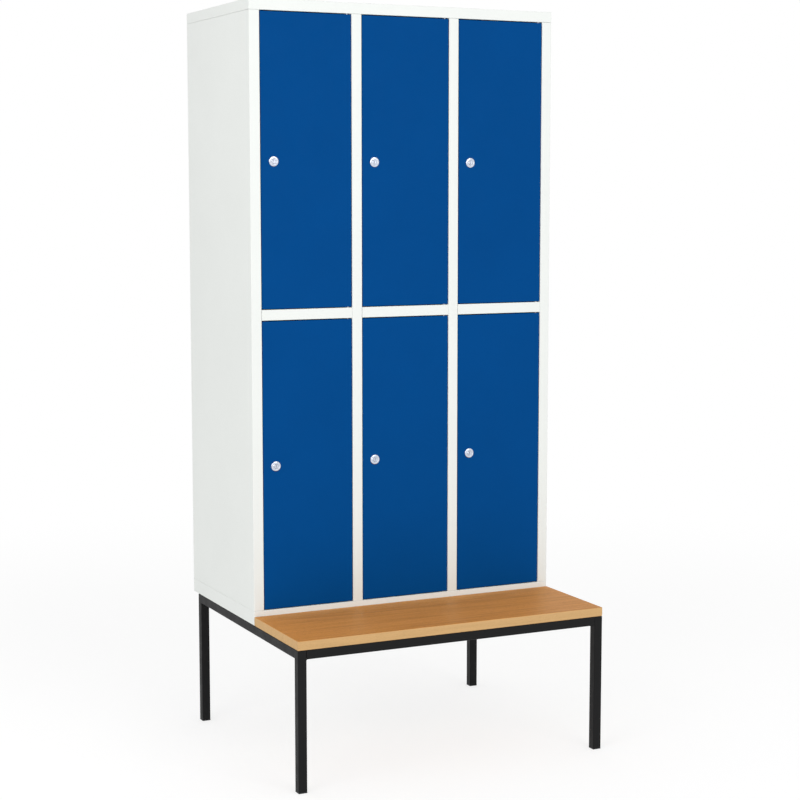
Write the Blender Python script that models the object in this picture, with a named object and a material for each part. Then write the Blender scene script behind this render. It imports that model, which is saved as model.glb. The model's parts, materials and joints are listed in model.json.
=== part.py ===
"""A steel clothes locker on a bench: three columns and two tiers of inset doors over a square-tube frame.

Lengths are in metres and +Z is up. The origin lies on the floor, under the middle of the whole piece.
+X is the locker's right as one faces it, and -Y is its front.
"""

import math

import bmesh
import bpy
from mathutils import Matrix, Vector

# Clearances
SEAT_GAP = 0.0003
CUT_OVERRUN = 0.002
MERGE_SHARE = 0.01
SMOOTH_BELOW = math.radians(35)
BENDS_ABOVE = math.radians(40)

# Cabinet
COLUMNS = 3
TIERS = 2
OPENING_WIDTH = 0.270
OPENING_HEIGHT = 0.802
STILE_WIDTH = 0.030
TIER_RAIL_HEIGHT = 0.030
TOP_HEIGHT = 0.030
BASE_HEIGHT = 0.040
CABINET_DEPTH = 0.500

# Folded sheet
SHEET = 0.0008
INNER_BEND_RADIUS = 0.0007
BEND_STEPS = 2
PAN_LIP = 0.020
BACK_FLANGE = 0.015
SHELF_BACK_FLANGE = 0.015
SHELF_FRONT_LIP = 0.020
STILE_DEPTH = 0.028
STILE_HEM = 0.012
NOTCH_GAP = 0.0006

# Doors
DOOR_GAP = 0.002
DOOR_DEPTH = 0.020
DOOR_LIP = 0.012
STOP_GAP = 0.0005
STOP_LIP = 0.010
STOP_NOTCH_DEPTH = 0.004

# Hinge pins
PIVOT_FROM_EDGE = 0.010
PIVOT_FROM_FACE = 0.006
PIN_RADIUS = 0.0025
PIN_REACH = 0.008
PIN_TAIL = 0.006
PIN_CHAMFER = 0.0008
COLLAR_RADIUS = 0.0045
PIN_STEPS = 12

# Locks
LOCK_FROM_EDGE = 0.036
ROSETTE_RADIUS = 0.014
ROSETTE_HEIGHT = 0.0032
ROSETTE_RIM = 0.0012
ROSETTE_SLOPE = 0.0035
BARREL_RADIUS = 0.0092
NUT_RADIUS = 0.014
NUT_HEIGHT = 0.004
NUT_SIDES = 6
PLUG_RADIUS = 0.006
PLUG_PROUD = 0.0006
KEY_SLOT_WIDTH = 0.0018
KEY_SLOT_LENGTH = 0.0084
KEY_SLOT_DEPTH = 0.004
TAIL_RADIUS = 0.004
CAM_CLEARANCE = 0.0005
CAM_THICKNESS = 0.0025
CAM_FROM_STILE = 0.003
CAM_ROOT_RADIUS = 0.0085
CAM_TIP_RADIUS = 0.006
CAM_SCREW_RADIUS = 0.0055
CAM_SCREW_HEIGHT = 0.0022
LOCK_STEPS = 24
PLUG_STEPS = 16
CAM_END_STEPS = 6

# Coat rails
RAIL_RADIUS = 0.0075
RAIL_WALL = 0.001
RAIL_BELOW_TOP = 0.045
RAIL_FROM_BACK = 0.235
SOCKET_RADIUS = 0.013
SOCKET_DEPTH = 0.004
SOCKET_SLOPE = 0.002
RAIL_STEPS = 16

# Bench
FRAME_HEIGHT = 0.385
REAR_OVERHANG = 0.040
TUBE = 0.025
TUBE_WALL = 0.0015
TUBE_INNER_CORNER = 0.0005
TUBE_CORNER_STEPS = 2
SEAT_DEPTH = 0.313
SEAT_THICKNESS = 0.025
SEAT_EDGE = 0.0015
SEAT_EDGE_STEPS = 3
SEAT_BACK_GAP = 0.002
FOOT_SOLE = 0.003
FOOT_PLUG = 0.016
FOOT_EDGE = 0.0008
FOOT_TAPER = 0.0012

# Worked out from the sizes above
CABINET_WIDTH = COLUMNS * OPENING_WIDTH + (COLUMNS + 1) * STILE_WIDTH
WALL_HEIGHT = TIERS * OPENING_HEIGHT + (TIERS - 1) * TIER_RAIL_HEIGHT
WALL_LOW = BASE_HEIGHT + SEAT_GAP
WALL_HIGH = WALL_LOW + WALL_HEIGHT
CABINET_HEIGHT = WALL_HIGH + SEAT_GAP + TOP_HEIGHT
TOTAL_DEPTH = SEAT_DEPTH + SEAT_BACK_GAP + CABINET_DEPTH
FRAME_DEPTH = TOTAL_DEPTH - REAR_OVERHANG
FRONT_Y = -TOTAL_DEPTH / 2
FACE_Y = FRONT_Y + SEAT_DEPTH + SEAT_BACK_GAP
CABINET_Z = FRAME_HEIGHT + SEAT_GAP
HALF_WIDTH = CABINET_WIDTH / 2
COLUMN_PITCH = OPENING_WIDTH + STILE_WIDTH
TIER_PITCH = OPENING_HEIGHT + TIER_RAIL_HEIGHT
BEND_RADIUS = SHEET + INNER_BEND_RADIUS
TUBE_CORNER = TUBE_WALL + TUBE_INNER_CORNER
DOOR_WIDTH = OPENING_WIDTH - 2 * DOOR_GAP
DOOR_HEIGHT = OPENING_HEIGHT - 2 * DOOR_GAP
STOP_FACE = DOOR_DEPTH + STOP_GAP
CAM_FRONT = STOP_FACE + SHEET + CAM_CLEARANCE
CAM_LENGTH = LOCK_FROM_EDGE + DOOR_GAP - CAM_FROM_STILE
INNER_BACK = CABINET_DEPTH - SHEET - SEAT_GAP - SHEET - SEAT_GAP
UP_TO_FRONT = Matrix.Rotation(math.radians(90), 4, "X")
UP_TO_RIGHT = Matrix.Rotation(math.radians(90), 4, "Y")


def column_name(column):
    if column == 0:
        return "left"
    return "right" if column == COLUMNS - 1 else "middle"


def tier_name(tier):
    return "lower" if tier == 0 else "upper"


def clear_scene():
    for old in list(bpy.data.objects):
        bpy.data.objects.remove(old, do_unlink=True)


def finish_material(name, colour, roughness, metallic=0.0):
    made = bpy.data.materials.new(name)
    made.use_nodes = True
    shader = made.node_tree.nodes["Principled BSDF"]
    shader.inputs["Base Color"].default_value = (*colour, 1.0)
    shader.inputs["Roughness"].default_value = roughness
    shader.inputs["Metallic"].default_value = metallic
    return made


def empty(name, location, parent=None):
    made = bpy.data.objects.new(name, None)
    bpy.context.scene.collection.objects.link(made)
    made.location = location
    made.parent = parent
    return made


def add_object(name, bm, material, location=(0, 0, 0), parent=None, smooth=False):
    mesh = bpy.data.meshes.new(name)
    bm.to_mesh(mesh)
    bm.free()
    if smooth:
        mesh.shade_smooth()
        mesh.set_sharp_from_angle(angle=SMOOTH_BELOW)
    made = bpy.data.objects.new(name, mesh)
    bpy.context.scene.collection.objects.link(made)
    made.location = location
    made.parent = parent
    if material:
        mesh.materials.append(material)
    return made


def round_edges(made, width, steps):
    """Rounds every sharp edge."""
    bevel = made.modifiers.new("rounding", "BEVEL")
    bevel.width = width
    bevel.segments = steps
    bevel.limit_method = "ANGLE"
    bevel.angle_limit = BENDS_ABOVE


def thicken(made, thickness):
    """Turns a surface into a wall that lies behind it."""
    solid = made.modifiers.new("wall", "SOLIDIFY")
    solid.thickness = thickness
    solid.offset = -1
    solid.use_even_offset = True


def combine(made, other, operation="DIFFERENCE"):
    boolean = made.modifiers.new(other.name, "BOOLEAN")
    boolean.operation = operation
    boolean.object = other
    boolean.solver = "EXACT"


def as_helper(made):
    made.hide_render = True
    made.display_type = "WIRE"
    return made


def block_mesh(low, high):
    bm = bmesh.new()
    bmesh.ops.create_cube(bm, size=1)
    low, high = Vector(low), Vector(high)
    bmesh.ops.scale(bm, vec=high - low, verts=bm.verts)
    bmesh.ops.translate(bm, vec=(low + high) / 2, verts=bm.verts)
    return bm


def block_cutter(name, low, high, parent=None):
    return as_helper(add_object(name, block_mesh(low, high), None, parent=parent))


def turned_mesh(profile, steps, closed):
    """A profile of (radius, height) points turned round Z. A closed profile makes a ring with a bore."""
    bm = bmesh.new()
    points = [bm.verts.new((radius, 0, height)) for radius, height in profile]
    pairs = list(zip(points, points[1:]))
    if closed:
        pairs.append((points[-1], points[0]))
    edges = [bm.edges.new(pair) for pair in pairs]
    bmesh.ops.spin(
        bm, geom=points + edges, cent=(0, 0, 0), axis=(0, 0, 1), angle=math.tau, steps=steps, use_merge=True
    )
    bmesh.ops.remove_doubles(bm, verts=bm.verts, dist=SEAT_GAP * MERGE_SHARE)
    bmesh.ops.recalc_face_normals(bm, faces=bm.faces)
    return bm


def round_cutter(name, radius, low, high, steps, parent=None, location=(0, 0, 0), turn=None):
    bm = turned_mesh([(0, low), (radius, low), (radius, high), (0, high)], steps, closed=False)
    if turn:
        bm.transform(turn)
    return as_helper(add_object(name, bm, None, location, parent))


def extruded_mesh(outline, thickness):
    """A flat outline in XY, raised along Z."""
    bm = bmesh.new()
    face = bm.faces.new([bm.verts.new((x, y, 0)) for x, y in outline])
    raised = bmesh.ops.extrude_face_region(bm, geom=[face])["geom"]
    tops = [item for item in raised if isinstance(item, bmesh.types.BMVert)]
    bmesh.ops.translate(bm, vec=(0, 0, thickness), verts=tops)
    bmesh.ops.recalc_face_normals(bm, faces=bm.faces)
    return bm


def folded_sheet(name, fold_line, run, material, parent):
    """Sheet folded along straight bends: the line of its outer face, drawn out along run."""
    bm = bmesh.new()
    starts = [bm.verts.new(point) for point in fold_line]
    ends = [bm.verts.new(Vector(point) + Vector(run)) for point in fold_line]
    for i in range(len(fold_line) - 1):
        bm.faces.new((starts[i], starts[i + 1], ends[i + 1], ends[i]))
    made = add_object(name, bm, material, parent=parent)
    round_edges(made, BEND_RADIUS, BEND_STEPS)
    thicken(made, SHEET)
    return made


def pan_mesh(width, length, depth, lip):
    """A tray turned upside down: a plate at z 0, four walls down to -depth, and a lip turned in all round."""
    bm = bmesh.new()

    def ring(inset, height):
        corners = (
            (inset, inset),
            (width - inset, inset),
            (width - inset, length - inset),
            (inset, length - inset),
        )
        return [bm.verts.new((x, y, height)) for x, y in corners]

    rings = [ring(0, 0), ring(0, -depth), ring(lip, -depth)]
    bm.faces.new(rings[0])
    for upper, lower in zip(rings, rings[1:]):
        for i in range(4):
            j = (i + 1) % 4
            bm.faces.new((upper[i], lower[i], lower[j], upper[j]))
    return bm


def tube_mesh(rings):
    """The skin of a square tube through rings of four corners, open at both ends."""
    bm = bmesh.new()
    made = [[bm.verts.new(corner) for corner in ring] for ring in rings]
    for near, far in zip(made, made[1:]):
        for i in range(4):
            j = (i + 1) % 4
            bm.faces.new((near[i], near[j], far[j], far[i]))
    bmesh.ops.recalc_face_normals(bm, faces=bm.faces)
    return bm


def square_tube(name, rings, material, parent):
    made = add_object(name, tube_mesh(rings), material, parent=parent)
    round_edges(made, TUBE_CORNER, TUBE_CORNER_STEPS)
    thicken(made, TUBE_WALL)
    return made


def opening_left(column):
    """X of an opening's left side."""
    return -HALF_WIDTH + STILE_WIDTH + column * COLUMN_PITCH


def opening_low(tier):
    """Z of an opening's lower side, above the cabinet's underside."""
    return WALL_LOW + tier * TIER_PITCH


def pivot_x(column):
    return opening_left(column) + OPENING_WIDTH - DOOR_GAP - PIVOT_FROM_EDGE


def wall_faces(column):
    """X of the inner faces of the two walls beside a column."""
    left, right = opening_left(column), opening_left(column) + OPENING_WIDTH
    to_web = (STILE_WIDTH - SHEET) / 2
    to_side = STILE_WIDTH - SHEET
    first, last = column == 0, column == COLUMNS - 1
    return left - (to_side if first else to_web), right + (to_side if last else to_web)


# Cabinet shell


def shell_pan(name, top, height, material, cabinet, pin_bores):
    """The pan under the walls or the one over them."""
    bm = pan_mesh(CABINET_WIDTH, CABINET_DEPTH, height, PAN_LIP)
    made = add_object(name, bm, material, (-HALF_WIDTH, 0, top), cabinet)
    round_edges(made, BEND_RADIUS, BEND_STEPS)
    thicken(made, SHEET)
    for bore in pin_bores:
        combine(made, bore)


def stop_notches(name, wall, stile_right, cabinet):
    """Takes the stop lip away where a tier shelf's rail meets the stile."""
    for tier in range(1, TIERS):
        low = opening_low(tier) - TIER_RAIL_HEIGHT
        cutter = block_cutter(
            f"{name}_{tier_name(tier)}",
            (stile_right - SHEET - CUT_OVERRUN, STOP_FACE - STOP_NOTCH_DEPTH, low - NOTCH_GAP),
            (
                stile_right + STOP_LIP + CUT_OVERRUN,
                STOP_FACE + SHEET + CUT_OVERRUN,
                low + TIER_RAIL_HEIGHT + NOTCH_GAP,
            ),
            cabinet,
        )
        combine(wall, cutter)


def side_panel_left(material, cabinet):
    outer, stile_right = -HALF_WIDTH, -HALF_WIDTH + STILE_WIDTH
    plan = [
        (outer + BACK_FLANGE, CABINET_DEPTH),
        (outer, CABINET_DEPTH),
        (outer, 0),
        (stile_right, 0),
        (stile_right, STOP_FACE),
        (stile_right + STOP_LIP, STOP_FACE),
    ]
    fold_line = [(x, y, WALL_LOW) for x, y in plan]
    made = folded_sheet("side_panel_left", fold_line, (0, 0, WALL_HEIGHT), material, cabinet)
    stop_notches("side_stop_notch", made, stile_right, cabinet)


def side_panel_right(material, cabinet):
    outer, stile_left = HALF_WIDTH, HALF_WIDTH - STILE_WIDTH
    plan = [
        (stile_left + STILE_HEM, STILE_DEPTH),
        (stile_left, STILE_DEPTH),
        (stile_left, 0),
        (outer, 0),
        (outer, CABINET_DEPTH),
        (outer - BACK_FLANGE, CABINET_DEPTH),
    ]
    fold_line = [(x, y, WALL_LOW) for x, y in plan]
    folded_sheet("side_panel_right", fold_line, (0, 0, WALL_HEIGHT), material, cabinet)


def partition(index, material, cabinet):
    """A wall between two columns, folded at its front into the stile. It reaches up into the top pan."""
    name = "partition_left" if index == 0 else "partition_right"
    stile_left = opening_left(index) + OPENING_WIDTH
    stile_right = stile_left + STILE_WIDTH
    web = stile_left + (STILE_WIDTH - SHEET) / 2
    plan = [
        (web + BACK_FLANGE, INNER_BACK),
        (web, INNER_BACK),
        (web, STILE_DEPTH),
        (stile_left, STILE_DEPTH),
        (stile_left, 0),
        (stile_right, 0),
        (stile_right, STOP_FACE),
        (stile_right + STOP_LIP, STOP_FACE),
    ]
    ceiling = CABINET_HEIGHT - SHEET - SEAT_GAP
    fold_line = [(x, y, WALL_LOW) for x, y in plan]
    made = folded_sheet(name, fold_line, (0, 0, ceiling - WALL_LOW), material, cabinet)
    stop_notches(f"{name}_stop_notch", made, stile_right, cabinet)
    left, right = stile_left - CUT_OVERRUN, stile_right + STOP_LIP + CUT_OVERRUN
    high = CABINET_HEIGHT + CUT_OVERRUN
    for end, front, behind in (
        ("front", -CUT_OVERRUN, STILE_DEPTH + CUT_OVERRUN),
        ("back", CABINET_DEPTH - PAN_LIP - SEAT_GAP, CABINET_DEPTH + CUT_OVERRUN),
    ):
        notch = block_cutter(f"{name}_{end}_notch", (left, front, WALL_HIGH), (right, behind, high), cabinet)
        combine(made, notch)


def back_panel(material, cabinet):
    """A flat sheet inside the side panels' rear flanges."""
    edge = HALF_WIDTH - SHEET - SEAT_GAP
    outer_face = CABINET_DEPTH - SHEET - SEAT_GAP
    fold_line = [(edge, outer_face, WALL_LOW), (-edge, outer_face, WALL_LOW)]
    folded_sheet("back_panel", fold_line, (0, 0, WALL_HEIGHT), material, cabinet)


def tier_shelf(column, tier, material, cabinet, pin_bore):
    """A shelf between two walls. Its front is the rail between two doors, notched round the stiles."""
    name = f"tier_shelf_{column_name(column)}"
    high = opening_low(tier) - SEAT_GAP
    low = high - TIER_RAIL_HEIGHT + 2 * SEAT_GAP
    left, right = opening_left(column), opening_left(column) + OPENING_WIDTH
    wall_left, wall_right = wall_faces(column)
    back = INNER_BACK - SHEET - SEAT_GAP
    section = [
        (SHELF_FRONT_LIP, low),
        (0, low),
        (0, high),
        (back, high),
        (back, high - SHELF_BACK_FLANGE),
    ]
    fold_line = [(wall_right - SEAT_GAP, y, z) for y, z in section]
    run = (wall_left - wall_right + 2 * SEAT_GAP, 0, 0)
    made = folded_sheet(name, fold_line, run, material, cabinet)
    under, over = low - CUT_OVERRUN, high + CUT_OVERRUN
    notch_end = STILE_DEPTH + BEND_RADIUS + SEAT_GAP
    for side, near, far in (
        ("left", left + SEAT_GAP, wall_left - CUT_OVERRUN),
        ("right", right - SEAT_GAP, wall_right + CUT_OVERRUN),
    ):
        corner_low = (min(near, far), -CUT_OVERRUN, under)
        corner_high = (max(near, far), notch_end, over)
        combine(made, block_cutter(f"{name}_{side}_notch", corner_low, corner_high, cabinet))
    combine(made, pin_bore)


# Doors, hinge pins and locks


def hinge_pin(name, column, low, flange_top, high, material, cabinet):
    """A pin hung by its collar on a flange. The door above stands on the collar too."""
    collar_low = flange_top + SEAT_GAP
    collar_high = flange_top + DOOR_GAP - SEAT_GAP
    profile = [
        (0, low),
        (PIN_RADIUS - PIN_CHAMFER, low),
        (PIN_RADIUS, low + PIN_CHAMFER),
        (PIN_RADIUS, collar_low),
        (COLLAR_RADIUS, collar_low),
        (COLLAR_RADIUS, collar_high),
        (PIN_RADIUS, collar_high),
        (PIN_RADIUS, high - PIN_CHAMFER),
        (PIN_RADIUS - PIN_CHAMFER, high),
        (0, high),
    ]
    bm = turned_mesh(profile, PIN_STEPS, closed=False)
    add_object(name, bm, material, (pivot_x(column), PIVOT_FROM_FACE, 0), cabinet, smooth=True)


def hinge_pins(column, material, cabinet):
    side = column_name(column)
    reach = DOOR_GAP + PIN_REACH
    floor = BASE_HEIGHT
    hinge_pin(f"hinge_pin_bottom_{side}", column, floor - PIN_TAIL, floor, floor + reach, material, cabinet)
    for tier in range(1, TIERS):
        high = opening_low(tier) - SEAT_GAP
        low = high - TIER_RAIL_HEIGHT + 2 * SEAT_GAP - reach
        hinge_pin(f"hinge_pin_tier_{side}", column, low, high, high + reach, material, cabinet)
    lip_top = WALL_HIGH + SEAT_GAP + SHEET
    low = WALL_HIGH - reach
    hinge_pin(f"hinge_pin_top_{side}", column, low, lip_top, lip_top + PIN_TAIL, material, cabinet)


def door(place, material, hinge, pin_bore):
    bm = pan_mesh(DOOR_WIDTH, DOOR_HEIGHT, DOOR_DEPTH, DOOR_LIP)
    bm.transform(UP_TO_FRONT)
    bmesh.ops.translate(bm, vec=(PIVOT_FROM_EDGE - DOOR_WIDTH, -PIVOT_FROM_FACE, 0), verts=bm.verts)
    made = add_object(f"door_{place}", bm, material, parent=hinge)
    round_edges(made, BEND_RADIUS, BEND_STEPS)
    thicken(made, SHEET)
    combine(made, pin_bore)
    return made


def lock_body(place, material, hinge, location):
    """The rosette, barrel and nut, round the bore that the plug turns in."""
    bore = PLUG_RADIUS + SEAT_GAP
    end = CAM_FRONT - SEAT_GAP
    profile = [
        (bore, ROSETTE_HEIGHT),
        (ROSETTE_RADIUS - ROSETTE_SLOPE, ROSETTE_HEIGHT),
        (ROSETTE_RADIUS, ROSETTE_RIM),
        (ROSETTE_RADIUS, SEAT_GAP),
        (BARREL_RADIUS, SEAT_GAP),
        (BARREL_RADIUS, -end),
        (bore, -end),
    ]
    bm = turned_mesh(profile, LOCK_STEPS, closed=True)
    bm.transform(UP_TO_FRONT)
    made = add_object(f"lock_body_{place}", bm, material, location, hinge, smooth=True)
    nut_front = -SHEET - SEAT_GAP
    inside = (PLUG_RADIUS + BARREL_RADIUS) / 2 + SEAT_GAP
    nut_profile = [
        (inside, nut_front),
        (NUT_RADIUS, nut_front),
        (NUT_RADIUS, nut_front - NUT_HEIGHT),
        (inside, nut_front - NUT_HEIGHT),
    ]
    bm = turned_mesh(nut_profile, NUT_SIDES, closed=True)
    bm.transform(UP_TO_FRONT)
    nut = as_helper(add_object(f"lock_nut_{place}", bm, None, location, hinge))
    combine(made, nut, "UNION")


def lock_plug(place, material, lock):
    front = ROSETTE_HEIGHT + PLUG_PROUD
    shoulder = -(CAM_FRONT - SEAT_GAP)
    screw_front = -(CAM_FRONT + CAM_THICKNESS + SEAT_GAP)
    profile = [
        (0, front),
        (PLUG_RADIUS, front),
        (PLUG_RADIUS, shoulder),
        (TAIL_RADIUS, shoulder),
        (TAIL_RADIUS, screw_front),
        (CAM_SCREW_RADIUS, screw_front),
        (CAM_SCREW_RADIUS, screw_front - CAM_SCREW_HEIGHT),
        (0, screw_front - CAM_SCREW_HEIGHT),
    ]
    bm = turned_mesh(profile, PLUG_STEPS, closed=False)
    bm.transform(UP_TO_FRONT)
    made = add_object(f"lock_plug_{place}", bm, material, parent=lock, smooth=True)
    half_width, half_length = KEY_SLOT_WIDTH / 2, KEY_SLOT_LENGTH / 2
    slot_low = (-half_width, -front - CUT_OVERRUN, -half_length)
    slot_high = (half_width, KEY_SLOT_DEPTH - front, half_length)
    combine(made, block_cutter(f"key_slot_{place}", slot_low, slot_high, lock))


def lock_cam(place, material, lock):
    """A flat cam that stands up when the lock is open, and turns to the left behind the stop lip."""
    outline = []
    tip = CAM_LENGTH - CAM_TIP_RADIUS
    lean = math.asin((CAM_ROOT_RADIUS - CAM_TIP_RADIUS) / tip)
    for radius, height, start, turn in (
        (CAM_TIP_RADIUS, tip, lean, math.pi - 2 * lean),
        (CAM_ROOT_RADIUS, 0, math.pi - lean, math.pi + 2 * lean),
    ):
        for i in range(CAM_END_STEPS + 1):
            angle = start + turn * i / CAM_END_STEPS
            outline.append((radius * math.cos(angle), height + radius * math.sin(angle)))
    bm = extruded_mesh(outline, CAM_THICKNESS)
    bmesh.ops.translate(bm, vec=(0, 0, -CAM_FRONT - CAM_THICKNESS), verts=bm.verts)
    bm.transform(UP_TO_FRONT)
    made = add_object(f"lock_cam_{place}", bm, material, parent=lock)
    low, high = -CAM_FRONT - CAM_THICKNESS - CUT_OVERRUN, -CAM_FRONT + CUT_OVERRUN
    radius = TAIL_RADIUS + SEAT_GAP
    combine(made, round_cutter(f"cam_bore_{place}", radius, low, high, PLUG_STEPS, lock, turn=UP_TO_FRONT))


def door_set(column, tier, paint, chrome, steel, cabinet, pin_bore):
    """One door with its lock. The empties stand on the hinge's and the lock's axes."""
    place = f"{tier_name(tier)}_{column_name(column)}"
    underside = opening_low(tier) - SEAT_GAP + DOOR_GAP
    hinge = empty(f"hinge_{place}", (pivot_x(column), PIVOT_FROM_FACE, underside), cabinet)
    leaf = door(place, paint, hinge, pin_bore)
    lock_x = PIVOT_FROM_EDGE - DOOR_WIDTH + LOCK_FROM_EDGE
    location = (lock_x, -PIVOT_FROM_FACE, DOOR_HEIGHT / 2)
    low, high = -SHEET - CUT_OVERRUN, CUT_OVERRUN
    name, radius = f"lock_bore_{place}", BARREL_RADIUS + SEAT_GAP
    combine(leaf, round_cutter(name, radius, low, high, LOCK_STEPS, hinge, location, UP_TO_FRONT))
    lock_body(place, chrome, hinge, location)
    lock = empty(f"lock_{place}", location, hinge)
    lock_plug(place, chrome, lock)
    lock_cam(place, steel, lock)


def coat_rail(column, tier, material, cabinet):
    """A round tube between the compartment's walls, with a socket at each end."""
    wall_left, wall_right = wall_faces(column)
    start, end = SEAT_GAP, wall_right - wall_left - SEAT_GAP
    profile = [
        (RAIL_RADIUS - RAIL_WALL, start),
        (SOCKET_RADIUS, start),
        (SOCKET_RADIUS - SOCKET_SLOPE, start + SOCKET_DEPTH),
        (RAIL_RADIUS, start + SOCKET_DEPTH),
        (RAIL_RADIUS, end - SOCKET_DEPTH),
        (SOCKET_RADIUS - SOCKET_SLOPE, end - SOCKET_DEPTH),
        (SOCKET_RADIUS, end),
        (RAIL_RADIUS - RAIL_WALL, end),
    ]
    bm = turned_mesh(profile, RAIL_STEPS, closed=True)
    bm.transform(UP_TO_RIGHT)
    height = opening_low(tier) + OPENING_HEIGHT - RAIL_BELOW_TOP
    location = (wall_left, CABINET_DEPTH - RAIL_FROM_BACK, height)
    name = f"coat_rail_{tier_name(tier)}_{column_name(column)}"
    add_object(name, bm, material, location, cabinet, smooth=True)


# Bench


def side_frame(name, left, material, bench):
    """Two legs and the rail between them, mitred, as one welded hoop of square tube."""
    right = left + TUBE
    low = FOOT_SOLE + SEAT_GAP
    outer = ((0, low), (0, FRAME_HEIGHT), (FRAME_DEPTH, FRAME_HEIGHT), (FRAME_DEPTH, low))
    inner_top = FRAME_HEIGHT - TUBE
    inner = ((TUBE, low), (TUBE, inner_top), (FRAME_DEPTH - TUBE, inner_top), (FRAME_DEPTH - TUBE, low))
    rings = []
    for (outer_y, outer_z), (inner_y, inner_z) in zip(outer, inner):
        rings.append(
            [
                (left, outer_y, outer_z),
                (left, inner_y, inner_z),
                (right, inner_y, inner_z),
                (right, outer_y, outer_z),
            ]
        )
    square_tube(name, rings, material, bench)


def cross_rail(name, front, material, bench):
    """A tube between the two side frames, level with their tops."""
    end = HALF_WIDTH - TUBE - SEAT_GAP
    low = FRAME_HEIGHT - TUBE
    rings = []
    for x in (-end, end):
        rings.append(
            [
                (x, front, low),
                (x, front + TUBE, low),
                (x, front + TUBE, FRAME_HEIGHT),
                (x, front, FRAME_HEIGHT),
            ]
        )
    square_tube(name, rings, material, bench)


def seat_board(material, bench):
    low = (-HALF_WIDTH, 0, FRAME_HEIGHT + SEAT_GAP)
    high = (HALF_WIDTH, SEAT_DEPTH, FRAME_HEIGHT + SEAT_GAP + SEAT_THICKNESS)
    made = add_object("seat_board", block_mesh(low, high), material, parent=bench)
    round_edges(made, SEAT_EDGE, SEAT_EDGE_STEPS)


def foot(name, x, y, material, bench):
    """A plastic sole under the leg, with a tapered plug that fills the tube."""
    half = TUBE / 2
    bm = block_mesh((-half, -half, 0), (half, half, FOOT_SOLE))
    bmesh.ops.bevel(bm, geom=list(bm.edges), offset=FOOT_EDGE, segments=1, affect="EDGES")
    plug_half = half - TUBE_WALL - SEAT_GAP
    bm.faces.ensure_lookup_table()
    top = max(bm.faces, key=lambda face: face.calc_center_median().z)
    bmesh.ops.inset_region(bm, faces=[top], thickness=half - FOOT_EDGE - plug_half)
    raised = bmesh.ops.extrude_discrete_faces(bm, faces=[top])["faces"][0]
    bmesh.ops.translate(bm, vec=(0, 0, FOOT_PLUG), verts=list(raised.verts))
    share = (plug_half - FOOT_TAPER) / plug_half
    bmesh.ops.scale(bm, vec=(share, share, 1), verts=list(raised.verts))
    uprights = {edge for corner in raised.verts for edge in corner.link_edges} - set(raised.edges)
    chamfer = TUBE_INNER_CORNER + SEAT_GAP
    bmesh.ops.bevel(bm, geom=list(uprights), offset=chamfer, segments=1, affect="EDGES")
    add_object(name, bm, material, (x, y, 0), bench)


def main():
    clear_scene()
    white = finish_material("cabinet_white", (0.80, 0.83, 0.80), 0.42)
    blue = finish_material("door_blue", (0.001, 0.060, 0.230), 0.45)
    black = finish_material("frame_black", (0.012, 0.012, 0.013), 0.45)
    wood = finish_material("seat_wood", (0.56, 0.24, 0.06), 0.50)
    chrome = finish_material("lock_chrome", (0.80, 0.80, 0.82), 0.18, 1.0)
    steel = finish_material("plain_steel", (0.55, 0.55, 0.56), 0.35, 1.0)
    plastic = finish_material("foot_plastic", (0.015, 0.015, 0.016), 0.60)

    bench = empty("bench", (0, FRONT_Y, 0))
    cabinet = empty("cabinet", (0, FACE_Y, CABINET_Z))

    side_frame("side_frame_left", -HALF_WIDTH, black, bench)
    side_frame("side_frame_right", HALF_WIDTH - TUBE, black, bench)
    cross_rail("front_rail", 0, black, bench)
    cross_rail("middle_rail", SEAT_DEPTH + (SEAT_BACK_GAP - TUBE) / 2, black, bench)
    cross_rail("rear_rail", FRAME_DEPTH - TUBE, black, bench)
    seat_board(wood, bench)
    leg_x = HALF_WIDTH - TUBE / 2
    for side, x in (("left", -leg_x), ("right", leg_x)):
        foot(f"foot_front_{side}", x, TUBE / 2, plastic, bench)
        foot(f"foot_rear_{side}", x, FRAME_DEPTH - TUBE / 2, plastic, bench)

    pin_bores = []
    for column in range(COLUMNS):
        side = column_name(column)
        location = (pivot_x(column), PIVOT_FROM_FACE, 0)
        low, high = BASE_HEIGHT - PIN_TAIL, WALL_HIGH + PIN_TAIL
        radius = PIN_RADIUS + SEAT_GAP
        pin_bores.append(round_cutter(f"pin_bore_{side}", radius, low, high, PIN_STEPS, cabinet, location))

    shell_pan("base_pan", BASE_HEIGHT, BASE_HEIGHT, white, cabinet, pin_bores)
    shell_pan("top_pan", CABINET_HEIGHT, TOP_HEIGHT, white, cabinet, pin_bores)
    side_panel_left(white, cabinet)
    side_panel_right(white, cabinet)
    for index in range(COLUMNS - 1):
        partition(index, white, cabinet)
    back_panel(white, cabinet)
    for column in range(COLUMNS):
        hinge_pins(column, steel, cabinet)
        for tier in range(1, TIERS):
            tier_shelf(column, tier, white, cabinet, pin_bores[column])
        for tier in range(TIERS):
            door_set(column, tier, blue, chrome, steel, cabinet, pin_bores[column])
            coat_rail(column, tier, chrome, cabinet)


main()
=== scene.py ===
"""The looks of the locker with bench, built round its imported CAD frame.

Lengths are in metres, +Z is up, and the front faces -Y.
"""

import json
import math

import bmesh
import bpy
from mathutils import Matrix, Vector

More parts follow.
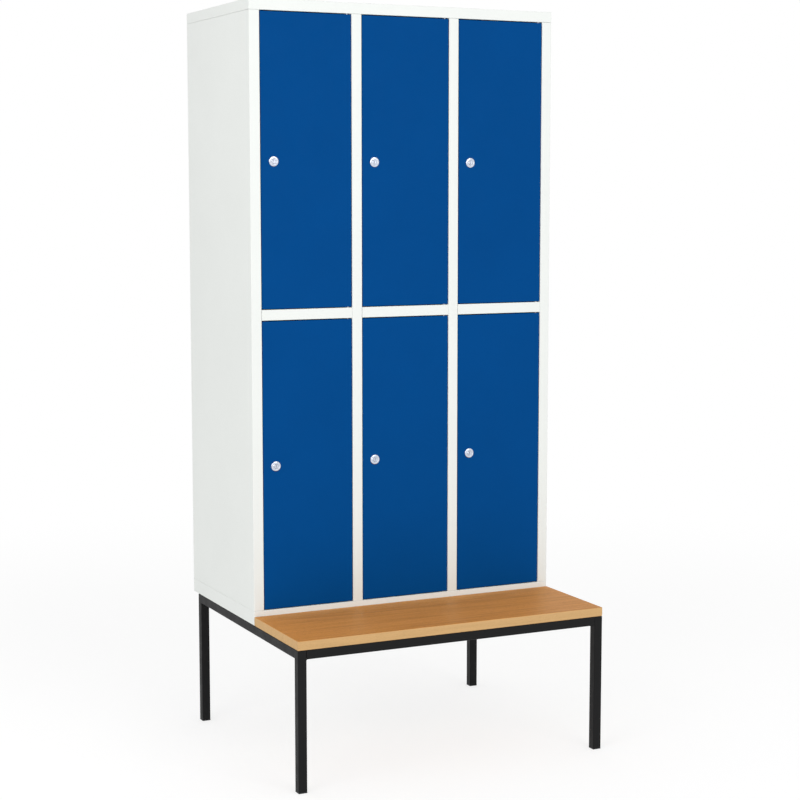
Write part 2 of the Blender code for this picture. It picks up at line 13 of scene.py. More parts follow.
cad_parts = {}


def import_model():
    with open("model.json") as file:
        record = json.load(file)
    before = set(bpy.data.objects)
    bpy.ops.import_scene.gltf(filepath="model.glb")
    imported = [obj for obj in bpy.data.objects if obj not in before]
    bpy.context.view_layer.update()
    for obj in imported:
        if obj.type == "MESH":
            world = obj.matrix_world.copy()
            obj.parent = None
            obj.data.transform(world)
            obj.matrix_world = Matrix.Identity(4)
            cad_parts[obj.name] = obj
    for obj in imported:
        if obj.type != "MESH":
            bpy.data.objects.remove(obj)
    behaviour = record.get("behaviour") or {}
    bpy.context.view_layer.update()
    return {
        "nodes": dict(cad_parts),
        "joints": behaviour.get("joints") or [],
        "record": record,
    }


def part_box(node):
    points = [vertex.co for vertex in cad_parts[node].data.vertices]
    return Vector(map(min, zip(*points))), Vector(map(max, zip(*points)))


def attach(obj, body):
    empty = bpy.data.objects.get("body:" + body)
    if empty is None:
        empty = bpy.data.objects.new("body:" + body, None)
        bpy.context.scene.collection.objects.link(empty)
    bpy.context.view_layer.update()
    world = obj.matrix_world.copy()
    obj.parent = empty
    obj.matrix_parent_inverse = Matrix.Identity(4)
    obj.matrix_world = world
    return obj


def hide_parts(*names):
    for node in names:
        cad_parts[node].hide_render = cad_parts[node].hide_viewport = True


# Camera. Yaw and pitch are in degrees
PHOTO_WIDTH = 800
FOCAL_PIXELS = 1844.0
SENSOR_WIDTH = 36
CAMERA_PLACE = (-2.2632, -4.7663, 1.5772)
CAMERA_YAW = 25.657
CAMERA_PITCH = -6.449

# Lamps and world
LAMP_TARGET = (0, 0, 1.0)
KEY_PLACE = (1.0, -5.4, 3.4)
KEY_SIZE = (3.0, 2.4)
KEY_POWER = 90
FILL_PLACE = (-4.2, -2.6, 2.6)
FILL_SIZE = (2.6, 2.6)
FILL_POWER = 68
WORLD_LIGHT = 0.72
WHITE = 1.0

# Floor. The seen levels are those that the camera and reflections get
FLOOR_REACH = 30
FLOOR_CELLS = 4
FLOOR_DROP = 0.0004
FLOOR_LEVEL = 0.86
FLOOR_SEEN_LEVEL = 0.32
FLOOR_SEEN_LIFT = 0.71
FLOOR_FADE = (1.4, 4.0)

# Colours, linear
CABINET_WHITE = (0.815, 0.840, 0.815)
DOOR_BLUE = (0.0002, 0.0610, 0.237)
FRAME_BLACK = (0.0070, 0.0070, 0.0074)
WOOD_TOP = (0.614, 0.261, 0.0585)
WOOD_EDGE = (0.640, 0.400, 0.180)
CHROME = (0.64, 0.68, 0.77)
STEEL = (0.52, 0.53, 0.54)
PLASTIC = (0.016, 0.016, 0.017)

# Noise textures: cycles to the metre, detail, roughness and distortion
PAINT_CLOUDS = (5.0, 4.0, 0.55)
PAINT_SHEEN = (38.0, 3.0)
PAINT_PEEL = (650.0, 2.0)
WOOD_GRAIN = (2.2, 6.0, 0.55, 0.9)
WOOD_STREAKS = (1.0, 3.0, 0.6, 0.2)
WOOD_FLECKS = (1.0, 2.0)
METAL_MARKS = (420.0, 3.0, 0.6)
PLASTIC_GRAIN = (900.0, 2.0)

# The wood's noise is this many times denser along X, Y and Z. The board lies along X
GRAIN_DENSITY = (1.0, 16.0, 16.0)
STREAK_DENSITY = (7.0, 260.0, 260.0)
FLECK_DENSITY = (150.0, 1500.0, 1500.0)

# Levels of a texture between which a colour or a number changes
SHADE_LEVELS = (0.25, 0.75)
SPREAD_LEVELS = (0.3, 0.7)
WOOD_TOP_LEVELS = (0.55, 0.75)

# The wood's colour ramps: a level, and what the colour is multiplied by there
GRAIN_TINTS = (
    (0.25, (0.80, 0.80, 0.80)),
    (0.45, (1.00, 1.00, 1.00)),
    (0.60, (1.08, 1.10, 1.12)),
    (0.80, (0.90, 0.90, 0.90)),
)
STREAK_TINTS = ((0.30, (0.80, 0.78, 0.74)), (0.62, (1.04, 1.04, 1.03)))
FLECK_TINTS = ((0.56, (1.03, 1.03, 1.03)), (0.66, (0.62, 0.56, 0.50)))
STREAKS_ON_TOP = 0.55
STREAKS_ON_EDGE = 0.30
FLECKS_ON_TOP = 0.7
FLECKS_ON_EDGE = 0.35

# Darkest and lightest shade of a colour
WOOD_EDGE_SHADES = (0.93, 1.05)
METAL_SHADES = (0.93, 1.05)
PLASTIC_SHADES = (0.85, 1.15)

# Roughness and gloss
PAINT_ROUGHNESS_SPREAD = 0.05
METAL_ROUGHNESS_SPREAD = (-0.05, 0.07)
WOOD_ROUGHNESS = (0.52, 0.42)
PLASTIC_ROUGHNESS = (0.52, 0.66)
WOOD_SPECULAR = 0.08

# Bumps: strength and height
PAINT_BUMP = (0.10, 0.0002)
WOOD_BUMP = (0.18, 0.0002)
METAL_BUMP = (0.06, 0.0001)
PLASTIC_BUMP = (0.15, 0.0002)

# Meshes. Edges above these angles stay sharp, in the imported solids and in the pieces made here
JOIN_DISTANCE = 0.00001
MERGE_DISTANCE = 0.000001
SOLID_SHARP_ABOVE = math.radians(50)
PIECE_SHARP_ABOVE = math.radians(32)

# Locks. Heights are above the door's face, which the plug turns in
ROSETTE_RADIUS = 0.014
ROSETTE_SHOULDER = 0.0105
ROSETTE_HEIGHT = 0.0032
ROSETTE_RIM = 0.0010
ROSETTE_LIFT = 0.0003
GROOVE_RADIUS = 0.0088
GROOVE = 0.0003
BORE_RADIUS = 0.0063
BARREL_RADIUS = 0.0092
THREAD_PITCH = 0.001
THREAD_DEPTH = 0.0004
NUT_APOTHEM = 0.0121
NUT_CHAMFER_RADIUS = 0.0126
NUT_CHAMFER_SLOPE = math.tan(math.radians(30))
NUT_FRONT = -0.0011
NUT_BACK = -0.0051
PLUG_RADIUS = 0.006
PLUG_FRONT = 0.0038
PLUG_DISH = 0.00025
PLUG_EDGE = 0.0004
SLOT_SIZE = (0.0018, 0.0084)
SLOT_DEPTH = 0.004
SLOT_CHAMFER = 0.0003
TAIL_RADIUS = 0.004
CAM_THICKNESS = 0.0025
CAM_GAP = 0.0006
CAM_SCREW_RADIUS = 0.0055
CAM_SCREW_HEIGHT = 0.0022
CAM_SCREW_FLAT = 0.6
CAM_SCREW_RIM = 0.4
CROSS_SIZE = (0.0012, 0.0056)
CROSS_CHAMFER = SLOT_CHAMFER / 3
LOCK_STEPS = 72
ARC_STEPS = 6

# Bench screws. The profile is in shares of the radius and the height
SCREW_RADIUS = 0.0045
SCREW_HEIGHT = 0.0022
SCREW_PROFILE = ((0, -0.2), (0.9, -0.2), (1, 0), (1, 0.45), (0.8, 0.85), (0.45, 1), (0, 1))
SCREW_RECESS = 0.7
SCREW_STEPS = 24
SCREW_FROM_EDGE = 0.0065

# Rivets of the back panel, with the same kind of profile
RIVET_RADIUS = 0.004
RIVET_HEIGHT = 0.0010
RIVET_PROFILE = (
    (0, -0.2),
    (1, -0.2),
    (1, 0.25),
    (0.88, 0.65),
    (0.62, 0.93),
    (0.38, 1),
    (0.30, 0.5),
    (0, 0.5),
)
RIVET_STEPS = 20
RIVET_ROWS = 9
RIVET_FROM_END = 0.06
FLANGE_MIDDLE = 0.0075

# Where fasteners are, as shares of the length of what they hold
SEAT_SCREWS = (0.12, 0.5, 0.88)
BASE_REAR_SCREWS = (0.3, 0.7)
BASE_SIDE_SCREWS = (0.25, 0.75)
SHELF_RIVETS = (0.3, 0.7)

# Weld beads. Ripple, end and taper are shares of the radius
BEAD_RADIUS = 0.0016
BEAD_PITCH = 0.0016
BEAD_POINTS = 4
BEAD_RIPPLE = 0.16
BEAD_END = 0.55
BEAD_TAPER = 0.15
BEAD_STEPS = 10

# The upright faces of each cross rail that are welded: 0 is its front, 1 its rear
WELDED_FACES = {"front": (1,), "middle": (0, 1), "rear": (0,)}


def between(low, high, share):
    return low + (high - low) * share


def grey(level):
    return (level, level, level, 1)


def node_by(tree, kind, **values):
    made = tree.nodes.new(kind)
    for name, value in values.items():
        setattr(made, name, value)
    return made


def new_material(name):
    made = bpy.data.materials.new(name)
    made.use_nodes = True
    tree = made.node_tree
    return made, tree, tree.nodes["Principled BSDF"]


def place_of(tree, density=(1, 1, 1)):
    """Points of the piece itself, for a texture that many times denser along X, Y and Z."""
    coordinates = node_by(tree, "ShaderNodeTexCoord")
    mapping = node_by(tree, "ShaderNodeMapping")
    mapping.inputs["Scale"].default_value = density
    tree.links.new(coordinates.outputs["Object"], mapping.inputs["Vector"])
    return mapping.outputs["Vector"]


def noise(tree, place, scale, detail, roughness=0.5, distortion=0.0):
    made = node_by(tree, "ShaderNodeTexNoise")
    made.inputs["Scale"].default_value = scale
    made.inputs["Detail"].default_value = detail
    made.inputs["Roughness"].default_value = roughness
    made.inputs["Distortion"].default_value = distortion
    tree.links.new(place, made.inputs["Vector"])
    return made.outputs["Fac"]


def spread(tree, value, low, high, levels=SPREAD_LEVELS):
    """Maps the range between the two levels to the range from low to high."""
    made = node_by(tree, "ShaderNodeMapRange")
    made.inputs["From Min"].default_value, made.inputs["From Max"].default_value = levels
    made.inputs["To Min"].default_value = low
    made.inputs["To Max"].default_value = high
    tree.links.new(value, made.inputs["Value"])
    return made.outputs["Result"]


def ramp(tree, value, stops):
    """The colour that the stops, each a level and a colour, give at the value."""
    made = node_by(tree, "ShaderNodeValToRGB")
    elements = made.color_ramp.elements
    while len(elements) < len(stops):
        elements.new(1)
    for element, (level, colour) in zip(elements, stops):
        element.position = level
        element.color = (*colour, 1)
    tree.links.new(value, made.inputs["Fac"])
    return made.outputs["Color"]


def tinted(colour, tints):
    return [(level, [c * t for c, t in zip(colour, tint)]) for level, tint in tints]


def shades(colour, low, high):
    return [(level, [c * t for c in colour]) for level, t in zip(SHADE_LEVELS, (low, high))]


def blend_colour(tree, kind, share, first, second):
    """Two colours blended by a share that is a number or comes from a texture."""
    made = node_by(tree, "ShaderNodeMix", data_type="RGBA", blend_type=kind)
    sockets = {socket.name: socket for socket in made.inputs if socket.enabled}
    if isinstance(share, float):
        sockets["Factor"].default_value = share
    else:
        tree.links.new(share, sockets["Factor"])
    tree.links.new(first, sockets["A"])
    tree.links.new(second, sockets["B"])
    return next(socket for socket in made.outputs if socket.enabled)


def bump(tree, shader, height, strength, distance):
    made = node_by(tree, "ShaderNodeBump")
    made.inputs["Strength"].default_value = strength
    made.inputs["Distance"].default_value = distance
    tree.links.new(height, made.inputs["Height"])
    tree.links.new(made.outputs["Normal"], shader.inputs["Normal"])


def powder_coat(name, colour, roughness, specular, clouding, peel_shading):
    """Painted sheet: faint clouding, fine orange peel whose shade is painted into the colour, and a
    sheen that varies a little.
    """
    made, tree, shader = new_material(name)
    place = place_of(tree)
    clouds = noise(tree, place, *PAINT_CLOUDS)
    paint = ramp(tree, clouds, shades(colour, 1 - clouding, 1 + clouding))
    peel = noise(tree, place, *PAINT_PEEL)
    # Painted shade: the colour is darker in the hollows of the orange peel and lighter on its
    # crests, as the bumps' own shade would make it
    painted_peel_shade = ramp(tree, peel, shades((1, 1, 1), 1 - peel_shading, 1 + peel_shading))
    coat = blend_colour(tree, "MULTIPLY", 1.0, paint, painted_peel_shade)
    tree.links.new(coat, shader.inputs["Base Color"])
    smooth, rough = roughness - PAINT_ROUGHNESS_SPREAD, roughness + PAINT_ROUGHNESS_SPREAD
    sheen = spread(tree, noise(tree, place, *PAINT_SHEEN), smooth, rough)
    tree.links.new(sheen, shader.inputs["Roughness"])
    shader.inputs["Specular IOR Level"].default_value = specular
    bump(tree, shader, peel, *PAINT_BUMP)
    return made


def wood_board(name):
    """Brown grain along the board, with a lighter band round its edges."""
    made, tree, shader = new_material(name)
    grain = noise(tree, place_of(tree, GRAIN_DENSITY), *WOOD_GRAIN)
    fine = noise(tree, place_of(tree, STREAK_DENSITY), *WOOD_STREAKS)
    specks = noise(tree, place_of(tree, FLECK_DENSITY), *WOOD_FLECKS)
    streaks = ramp(tree, fine, STREAK_TINTS)
    flecks = ramp(tree, specks, FLECK_TINTS)
    top = ramp(tree, grain, tinted(WOOD_TOP, GRAIN_TINTS))
    top = blend_colour(tree, "MULTIPLY", STREAKS_ON_TOP, top, streaks)
    top = blend_colour(tree, "MULTIPLY", FLECKS_ON_TOP, top, flecks)
    edge = ramp(tree, grain, shades(WOOD_EDGE, *WOOD_EDGE_SHADES))
    edge = blend_colour(tree, "MULTIPLY", STREAKS_ON_EDGE, edge, streaks)
    edge = blend_colour(tree, "MULTIPLY", FLECKS_ON_EDGE, edge, flecks)
    coordinates = node_by(tree, "ShaderNodeTexCoord")
    split = node_by(tree, "ShaderNodeSeparateXYZ")
    tree.links.new(coordinates.outputs["Normal"], split.inputs["Vector"])
    upright = node_by(tree, "ShaderNodeMath", operation="ABSOLUTE")
    tree.links.new(split.outputs["Z"], upright.inputs[0])
    share = spread(tree, upright.outputs["Value"], 0, 1, WOOD_TOP_LEVELS)
    tree.links.new(blend_colour(tree, "MIX", share, edge, top), shader.inputs["Base Color"])
    tree.links.new(spread(tree, fine, *WOOD_ROUGHNESS), shader.inputs["Roughness"])
    shader.inputs["Specular IOR Level"].default_value = WOOD_SPECULAR
    bump(tree, shader, fine, *WOOD_BUMP)
    return made


def metal(name, colour, roughness, density):
    """Bare or plated metal with fine marks."""
    made, tree, shader = new_material(name)
    marks = noise(tree, place_of(tree, density), *METAL_MARKS)
    tree.links.new(ramp(tree, marks, shades(colour, *METAL_SHADES)), shader.inputs["Base Color"])
    smooth, rough = (roughness + change for change in METAL_ROUGHNESS_SPREAD)
    tree.links.new(spread(tree, marks, smooth, rough), shader.inputs["Roughness"])
    shader.inputs["Metallic"].default_value = 1.0
    bump(tree, shader, marks, *METAL_BUMP)
    return made


def moulded(name, colour):
    """Plastic with the fine grain of its mould."""
    made, tree, shader = new_material(name)
    grain = noise(tree, place_of(tree), *PLASTIC_GRAIN)
    tree.links.new(ramp(tree, grain, shades(colour, *PLASTIC_SHADES)), shader.inputs["Base Color"])
    tree.links.new(spread(tree, grain, *PLASTIC_ROUGHNESS), shader.inputs["Roughness"])
    bump(tree, shader, grain, *PLASTIC_BUMP)
    return made


def bend_shading():
    """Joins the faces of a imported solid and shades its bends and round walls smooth."""
    group = bpy.data.node_groups.new("bend_shading", "GeometryNodeTree")
    for way in ("INPUT", "OUTPUT"):
        group.interface.new_socket("Geometry", in_out=way, socket_type="NodeSocketGeometry")
    start = node_by(group, "NodeGroupInput")
    joined = node_by(group, "GeometryNodeMergeByDistance")
    joined.inputs["Distance"].default_value = JOIN_DISTANCE
    group.links.new(start.outputs[0], joined.inputs["Geometry"])
    angle = node_by(group, "GeometryNodeInputMeshEdgeAngle")
    sharp = node_by(group, "FunctionNodeCompare", operation="GREATER_THAN")
    sharp.inputs["B"].default_value = SOLID_SHARP_ABOVE
    group.links.new(angle.outputs["Unsigned Angle"], sharp.inputs["A"])
    normals = node_by(group, "GeometryNodeSetMeshNormal", mode="SHARPNESS")
    normals.inputs["Remove Custom"].default_value = True
    group.links.new(joined.outputs["Geometry"], normals.inputs["Mesh"])
    group.links.new(sharp.outputs["Result"], normals.inputs["Edge Sharpness"])
    end = node_by(group, "NodeGroupOutput")
    group.links.new(normals.outputs["Mesh"], end.inputs[0])
    return group


def shade_bends(nodes):
    group = bend_shading()
    for node in nodes.values():
        node.modifiers.new("bend_shading", "NODES").node_group = group
        weighted = node.modifiers.new("flat_faces", "WEIGHTED_NORMAL")
        weighted.keep_sharp = True


def add(name, data, material=None):
    made = bpy.data.objects.new(name, data)
    bpy.context.scene.collection.objects.link(made)
    if material and not data.materials:
        data.materials.append(material)
    return made


def mesh_of(name, bm):
    mesh = bpy.data.meshes.new(name)
    bm.to_mesh(mesh)
    bm.free()
    return mesh


def join_rings(bm, near, far, closed):
    """Four-sided faces between two rings of the same number of points."""
    count = len(near)
    for i in range(count if closed else count - 1):
        j = (i + 1) % count
        bm.faces.new((near[i], near[j], far[j], far[i]))


def round_mesh(name, profile, steps, closed):
    """Points turned round Z, each (radius, height) or a function of the angle that gives both."""
    bm = bmesh.new()
    rings = []
    for step in range(steps):
        angle = math.tau * step / steps
        ring = []
        for point in profile:
            radius, height = point(angle) if callable(point) else point
            ring.append(bm.verts.new((radius * math.cos(angle), radius * math.sin(angle), height)))
        rings.append(ring)
    for near, far in zip(rings, rings[1:] + rings[:1]):
        join_rings(bm, near, far, closed)
    bmesh.ops.remove_doubles(bm, verts=bm.verts, dist=MERGE_DISTANCE)
    bmesh.ops.dissolve_degenerate(bm, edges=bm.edges, dist=MERGE_DISTANCE)
    bmesh.ops.recalc_face_normals(bm, faces=bm.faces)
    return mesh_of(name, bm)


def slot_mesh(name, size, top, depth, chamfer):
    """A straight slot that widens at its mouth."""
    bm = bmesh.new()
    levels = ((0, top - depth), (0, top - chamfer), (chamfer, top), (chamfer, top + chamfer))
    rings = []
    for grow, height in levels:
        x, y = size[0] / 2 + grow, size[1] / 2 + grow
        corners = ((-x, -y), (x, -y), (x, y), (-x, y))
        rings.append([bm.verts.new((*corner, height)) for corner in corners])
    for lower, upper in zip(rings, rings[1:]):
        join_rings(bm, lower, upper, closed=True)
    bm.faces.new(rings[0])
    bm.faces.new(rings[-1])
    bmesh.ops.recalc_face_normals(bm, faces=bm.faces)
    return mesh_of(name, bm)


def cross_meshes(name, top, depth):
    """The two slots of a cross recess."""
    sizes = (("long", CROSS_SIZE), ("wide", CROSS_SIZE[::-1]))
    return [slot_mesh(f"{name}_{way}", size, top, depth, CROSS_CHAMFER) for way, size in sizes]


def cut(mesh, cutters):
    """The mesh without the cutters' shapes. Many-sided faces are split, so none is without area."""
    made = add(mesh.name, mesh)
    helpers = []
    for cutter in cutters:
        helper = add(cutter.name, cutter)
        made.modifiers.new(cutter.name, "BOOLEAN").object = helper
        helpers.append(helper)
    bpy.context.view_layer.update()
    evaluated = made.evaluated_get(bpy.context.evaluated_depsgraph_get())
    result = bpy.data.meshes.new_from_object(evaluated)
    for old in [made, *helpers]:
        bpy.data.objects.remove(old)
    bm = bmesh.new()
    bm.from_mesh(result)
    bmesh.ops.triangulate(bm, faces=[face for face in bm.faces if len(face.verts) > 4])
    bmesh.ops.dissolve_degenerate(bm, edges=bm.edges, dist=MERGE_DISTANCE)
    bm.to_mesh(result)
    bm.free()
    return result


def soften(mesh):
    mesh.shade_smooth()
    mesh.set_sharp_from_angle(angle=PIECE_SHARP_ABOVE)
    return mesh


def quarter_turn():
    return [math.pi / 2 * i / ARC_STEPS for i in range(ARC_STEPS + 1)]


def lock_case_mesh(depth):
    """Domed rosette with a ring round the plug, and a threaded barrel behind the door."""
    profile = [(BORE_RADIUS, ROSETTE_HEIGHT - GROOVE), (BORE_RADIUS + GROOVE, ROSETTE_HEIGHT)]
    for offset, fall in ((-GROOVE, 0), (0, GROOVE), (GROOVE, GROOVE), (2 * GROOVE, 0)):
        profile.append((GROOVE_RADIUS + offset, ROSETTE_HEIGHT - fall))
    for turn in quarter_turn():
        radius = ROSETTE_SHOULDER + (ROSETTE_RADIUS - ROSETTE_SHOULDER) * math.sin(turn)
        height = ROSETTE_RIM + (ROSETTE_HEIGHT - ROSETTE_RIM) * math.cos(turn)
        profile.append((radius, height))
    profile += [(ROSETTE_RADIUS, 2 * ROSETTE_LIFT), (ROSETTE_RADIUS - ROSETTE_LIFT, ROSETTE_LIFT)]
    profile += [(BARREL_RADIUS, ROSETTE_LIFT), (BARREL_RADIUS, NUT_BACK)]
    for i in range(int((depth + NUT_BACK) / THREAD_PITCH)):
        height = NUT_BACK - THREAD_PITCH * i
        profile.append((BARREL_RADIUS - THREAD_DEPTH, height - THREAD_PITCH / 2))
        profile.append((BARREL_RADIUS, height - THREAD_PITCH))
    profile += [(BARREL_RADIUS - THREAD_DEPTH, -depth), (BORE_RADIUS, -depth)]
    return soften(round_mesh("lock_case", profile, LOCK_STEPS, closed=True))


def lock_nut_mesh():
    """Hexagon nut whose corners are chamfered on both faces."""

    def side(angle):
        return NUT_APOTHEM / math.cos((angle + math.pi / 6) % (math.pi / 3) - math.pi / 6)

    def corner(face, way):
        def point(angle):
            past = max(0, side(angle) - NUT_CHAMFER_RADIUS)
            return side(angle), face - way * past * NUT_CHAMFER_SLOPE

        return point

    def rim(face):
        return lambda angle: (min(side(angle), NUT_CHAMFER_RADIUS), face)

    bore = BARREL_RADIUS + GROOVE / 2
    profile = [
        (bore, NUT_FRONT - GROOVE),
        (bore + GROOVE, NUT_FRONT),
        rim(NUT_FRONT),
        corner(NUT_FRONT, 1),
        corner(NUT_BACK, -1),
        rim(NUT_BACK),
        (bore + GROOVE, NUT_BACK),
        (bore, NUT_BACK + GROOVE),
    ]
    return soften(round_mesh("lock_nut", profile, LOCK_STEPS, closed=True))


def lock_core_mesh(depth):
    """Dished plug with a key slot, its tail, and the cross-slotted screw that holds the cam."""
    screw_front = -depth - CAM_THICKNESS - CAM_GAP
    screw_back = screw_front - CAM_SCREW_HEIGHT
    profile = [
        (0, PLUG_FRONT - PLUG_DISH),
        (PLUG_RADIUS - 4 * PLUG_EDGE, PLUG_FRONT - PLUG_DISH),
        (PLUG_RADIUS - 3 * PLUG_EDGE, PLUG_FRONT),
        (PLUG_RADIUS - PLUG_EDGE, PLUG_FRONT),
        (PLUG_RADIUS, PLUG_FRONT - PLUG_EDGE),
        (PLUG_RADIUS, -depth),
        (TAIL_RADIUS, -depth),
        (TAIL_RADIUS, screw_front),
        (CAM_SCREW_RADIUS, screw_front),
    ]
    for turn in quarter_turn():
        across = between(CAM_SCREW_FLAT, 1, math.cos(turn))
        along = between(CAM_SCREW_RIM, 1, math.sin(turn))
        profile.append((CAM_SCREW_RADIUS * across, screw_front - CAM_SCREW_HEIGHT * along))
    profile.append((0, screw_back))
    body = round_mesh("lock_core", profile, LOCK_STEPS, closed=False)
    key_slot = slot_mesh("key_slot", SLOT_SIZE, PLUG_FRONT - PLUG_DISH, SLOT_DEPTH, SLOT_CHAMFER)
    cross = cross_meshes("cross", 0, CAM_SCREW_HEIGHT / 2)
    for cutter in cross:
        cutter.transform(Matrix.Translation((0, 0, screw_back)) @ Matrix.Rotation(math.pi, 4, "X"))
    return soften(cut(body, [key_slot, *cross]))


def locks(joints, chrome):
    """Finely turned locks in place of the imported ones, each on its door and its plug's axis."""
    meshes = None
    for joint in joints:
        if not joint["child"].startswith("lock_"):
            continue
        place = joint["child"].removeprefix("lock_")
        axis = Vector(joint["pos_m"])
        if meshes is None:
            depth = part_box(f"lock_body_{place}")[1].y - axis.y
            meshes = lock_case_mesh(depth), lock_nut_mesh(), lock_core_mesh(depth)
        for name, mesh, body, node in (
            ("lock_case", meshes[0], f"door_{place}", f"lock_body_{place}"),
            ("lock_nut", meshes[1], f"door_{place}", None),
            ("lock_core", meshes[2], f"lock_{place}", f"lock_plug_{place}"),
        ):
            piece = add(f"{name}_{place}", mesh, chrome)
            piece.matrix_world = Matrix.Translation(axis) @ Matrix.Rotation(math.pi / 2, 4, "X")
            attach(piece, body)
            if node:
                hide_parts(node)


def fastener(name, mesh, material, place, way):
    """A small fixed piece whose +Z points along way."""
    piece = add(name, mesh, material)
    turned = Vector(way).to_track_quat("Z", "Y").to_matrix().to_4x4()
    piece.matrix_world = Matrix.Translation(place) @ turned
    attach(piece, "cabinet")


def bench_screws(material):
    """Pan-head screws under the bench, into the seat board and into the cabinet's base."""
    profile = [(SCREW_RADIUS * across, SCREW_HEIGHT * along) for across, along in SCREW_PROFILE]
    head = round_mesh("pan_head_screw", profile, SCREW_STEPS, closed=False)
    mesh = soften(cut(head, cross_meshes("recess", SCREW_HEIGHT, SCREW_HEIGHT * SCREW_RECESS)))
    front_low, front_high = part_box("front_rail")
    low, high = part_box("middle_rail")
    pan_low, pan_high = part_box("base_pan")
    places = []
    for share in SEAT_SCREWS:
        x = between(low.x, high.x, share)
        places.append((x, (front_low.y + front_high.y) / 2))
        places.append((x, low.y + SCREW_FROM_EDGE))
    for share in BASE_REAR_SCREWS:
        places.append((between(low.x, high.x, share), high.y - SCREW_FROM_EDGE))
    for x in ((pan_low.x + low.x) / 2, (pan_high.x + high.x) / 2):
        for share in BASE_SIDE_SCREWS:
            places.append((x, between(pan_low.y, pan_high.y, share)))
    for i, (x, y) in enumerate(places):
        name = f"bench_screw_{i + 1}"
        fastener(name, mesh, material, (x, y, low.z), (0, 0, -1))


def back_rivets(material):
    """Painted blind rivets that hold the back panel on the partitions and the tier shelves."""
    profile = [(RIVET_RADIUS * across, RIVET_HEIGHT * along) for across, along in RIVET_PROFILE]
    mesh = soften(round_mesh("blind_rivet", profile, RIVET_STEPS, closed=False))
    low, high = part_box("back_panel")
    places = []
    for side in ("middle", "right"):
        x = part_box(f"coat_rail_upper_{side}")[0].x + FLANGE_MIDDLE
        for i in range(RIVET_ROWS):
            share = i / (RIVET_ROWS - 1)
            places.append((x, between(low.z + RIVET_FROM_END, high.z - RIVET_FROM_END, share)))
    for side in ("left", "middle", "right"):
        shelf_low, shelf_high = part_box(f"tier_shelf_{side}")
        for share in SHELF_RIVETS:
            x = between(shelf_low.x, shelf_high.x, share)
            places.append((x, shelf_high.z - FLANGE_MIDDLE))
    for i, (x, z) in enumerate(places):
        name = f"back_rivet_{i + 1}"
        fastener(name, mesh, material, (x, high.y, z), (0, 1, 0))


def weld_bead_mesh(length):
    """A rippled bead that is thinner at both ends."""
    count = int(BEAD_POINTS * length / BEAD_PITCH)
    profile = [(0, 0)]
    for i in range(count + 1):
        ripple = between(1 - BEAD_RIPPLE, 1, abs(math.sin(math.pi * i / BEAD_POINTS)))
        end = min(1, BEAD_END + BEAD_TAPER * min(i, count - i))
        profile.append((BEAD_RADIUS * ripple * end, length * i / count))
    profile.append((0, length))
    return soften(round_mesh("weld_bead", profile, BEAD_STEPS, closed=False))


def weld_beads(material):
    """Painted weld beads where the cross rails meet the side frames."""
    rail_low, rail_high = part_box("middle_rail")
    mesh = weld_bead_mesh(rail_high.z - rail_low.z)
    for rail, faces in WELDED_FACES.items():
        low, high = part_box(f"{rail}_rail")
        for end, x in (("left", low.x), ("right", high.x)):
            starts = [((x, low.y, low.z), (0, 1, 0))]
            starts += [((x, (low.y, high.y)[face], low.z), (0, 0, 1)) for face in faces]
            for i, (place, way) in enumerate(starts):
                name = f"weld_bead_{rail}_{end}_{i + 1}"
                fastener(name, mesh, material, place, way)


def seen_directly(tree):
    """1 for what the camera or a reflection sees, and 0 for light that falls on something."""
    path = node_by(tree, "ShaderNodeLightPath")
    seen = node_by(tree, "ShaderNodeMath", operation="MAXIMUM")
    tree.links.new(path.outputs["Is Camera Ray"], seen.inputs[0])
    tree.links.new(path.outputs["Is Glossy Ray"], seen.inputs[1])
    return seen.outputs["Value"]


def mix_shader(tree, share, first, second):
    made = node_by(tree, "ShaderNodeMixShader")
    for i, value in enumerate((share, first, second)):
        tree.links.new(value, made.inputs[i])
    return made.outputs[0]


def floor_material():
    """Pale floor that keeps the shadow and shows as white. Far out it is plain white."""
    made, tree, _ = new_material("floor_pale")
    tree.nodes.clear()
    lit = node_by(tree, "ShaderNodeBsdfDiffuse")
    lit.inputs["Color"].default_value = grey(FLOOR_LEVEL)
    shadowed = node_by(tree, "ShaderNodeBsdfDiffuse")
    shadowed.inputs["Color"].default_value = grey(FLOOR_SEEN_LEVEL)
    lift = node_by(tree, "ShaderNodeEmission")
    lift.inputs["Strength"].default_value = FLOOR_SEEN_LIFT
    near = node_by(tree, "ShaderNodeAddShader")
    tree.links.new(shadowed.outputs[0], near.inputs[0])
    tree.links.new(lift.outputs[0], near.inputs[1])
    far = node_by(tree, "ShaderNodeEmission")
    coordinates = node_by(tree, "ShaderNodeTexCoord")
    distance = node_by(tree, "ShaderNodeVectorMath", operation="LENGTH")
    tree.links.new(coordinates.outputs["Object"], distance.inputs[0])
    fade = node_by(tree, "ShaderNodeMapRange", interpolation_type="SMOOTHSTEP")
    fade.inputs["From Min"].default_value, fade.inputs["From Max"].default_value = FLOOR_FADE
    tree.links.new(distance.outputs["Value"], fade.inputs["Value"])
    seen = mix_shader(tree, fade.outputs["Result"], near.outputs[0], far.outputs[0])
    whole = mix_shader(tree, seen_directly(tree), lit.outputs[0], seen)
    out = node_by(tree, "ShaderNodeOutputMaterial")
    tree.links.new(whole, out.inputs["Surface"])
    return made


def floor():
    bm = bmesh.new()
    bmesh.ops.create_grid(bm, x_segments=FLOOR_CELLS, y_segments=FLOOR_CELLS, size=FLOOR_REACH)
    made = add("floor", mesh_of("floor", bm), floor_material())
    made.location = (0, 0, -FLOOR_DROP)


def world():
    """Plain light all round, which the camera and reflections see as white."""
    made = bpy.data.worlds.new("studio")
    made.use_nodes = True
    tree = made.node_tree
    background = tree.nodes["Background"]
    background.inputs["Color"].default_value = grey(WHITE)
    strength = spread(tree, seen_directly(tree), WORLD_LIGHT, WHITE, (0, 1))
    tree.links.new(strength, background.inputs["Strength"])
    bpy.context.scene.world = made


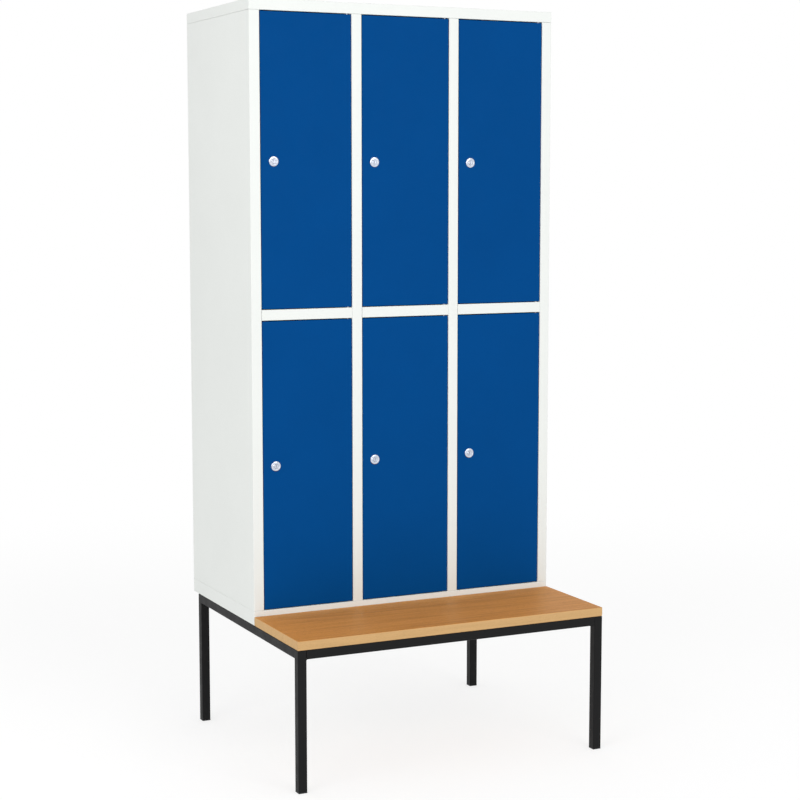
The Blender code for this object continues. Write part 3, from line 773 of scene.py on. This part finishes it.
def area_light(name, place, size, power):
    data = bpy.data.lights.new(name, "AREA")
    data.shape = "RECTANGLE"
    data.size, data.size_y = size
    data.energy = power
    made = add(name, data)
    made.location = place
    made.rotation_mode = "QUATERNION"
    made.rotation_quaternion = (Vector(LAMP_TARGET) - Vector(place)).to_track_quat("-Z", "Y")


def camera():
    data = bpy.data.cameras.new("camera")
    data.sensor_width = SENSOR_WIDTH
    data.lens = FOCAL_PIXELS / PHOTO_WIDTH * SENSOR_WIDTH
    made = add("camera", data)
    made.location = CAMERA_PLACE
    made.rotation_euler = (math.radians(90 + CAMERA_PITCH), 0, math.radians(-CAMERA_YAW))
    bpy.context.scene.camera = made


def finishes():
    """The finished material of each of the record's material slots. Each paint's last number is how
    strongly the shade of its orange peel is painted into its colour.
    """
    return {
        "cabinet_white": powder_coat(
            "cabinet_paint",
            CABINET_WHITE,
            roughness=0.50,
            specular=0.25,
            clouding=0.012,
            peel_shading=0.025,
        ),
        "door_blue": powder_coat(
            "door_paint",
            DOOR_BLUE,
            roughness=0.60,
            specular=0.03,
            clouding=0.035,
            peel_shading=0.08,
        ),
        "frame_black": powder_coat(
            "frame_paint",
            FRAME_BLACK,
            roughness=0.50,
            specular=0.15,
            clouding=0.10,
            peel_shading=0.10,
        ),
        "seat_wood": wood_board("seat_laminate"),
        "lock_chrome": metal("bright_plating", CHROME, roughness=0.16, density=(1, 1, 1)),
        "plain_steel": metal("plain_steel_finish", STEEL, roughness=0.34, density=(1, 1, 0.2)),
        "foot_plastic": moulded("foot_moulding", PLASTIC),
    }


def dress(nodes, record, materials):
    """Gives each CAD node the finished material of its slot."""
    for part in record["subparts"]:
        mesh = nodes[part["node"]].data
        for i in range(len(mesh.materials)):
            mesh.materials[i] = materials[part["material_slot"]]


def main():
    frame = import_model()
    bpy.context.scene.view_settings.view_transform = "Standard"
    camera()
    world()
    floor()
    area_light("key", KEY_PLACE, KEY_SIZE, KEY_POWER)
    area_light("fill", FILL_PLACE, FILL_SIZE, FILL_POWER)
    materials = finishes()
    dress(frame["nodes"], frame["record"], materials)
    shade_bends(frame["nodes"])
    locks(frame["joints"], materials["lock_chrome"])
    bench_screws(materials["plain_steel"])
    back_rivets(materials["cabinet_white"])
    weld_beads(materials["frame_black"])


main()
